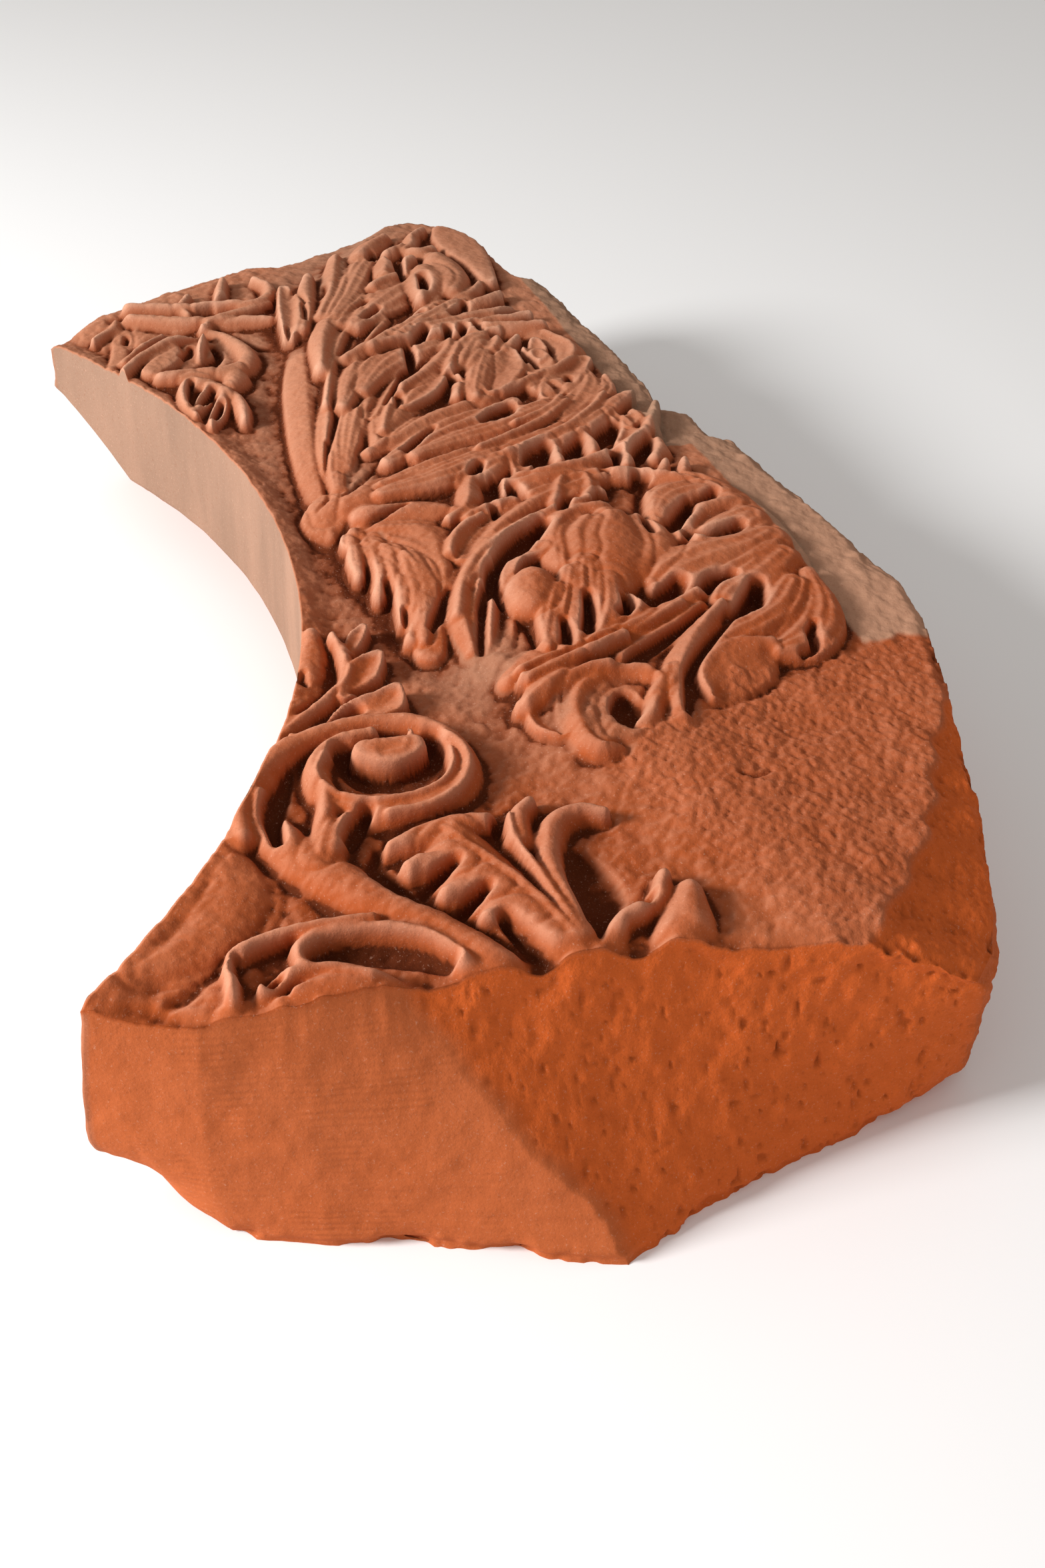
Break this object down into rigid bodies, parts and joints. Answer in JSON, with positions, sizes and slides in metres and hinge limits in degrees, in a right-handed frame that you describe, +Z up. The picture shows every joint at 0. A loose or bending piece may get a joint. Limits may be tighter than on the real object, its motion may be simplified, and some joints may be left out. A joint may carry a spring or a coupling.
{
  "type": "arch keystone",
  "caption": "Carved red sandstone keystone of a round arch, lying on its back with leaf scrolls, a palmette and volutes on its face.",
  "frame": {"origin": "middle of the underside, the face that rests on the ground", "axes": "+X along the wall from the far end to the broken near end, +Y outward from the arch's opening, +Z up out of the carved face"},
  "size_m": [1.5078, 0.8408, 0.2816],
  "materials": {
    "sandstone": "red-orange sandstone, matt and grainy, carved, with tooled and broken surfaces, grey dust in the hollows and a little grey-green staining"
  },
  "bodies": {
    "root": {"keystone": "sandstone"}
  },
  "joints": []
}
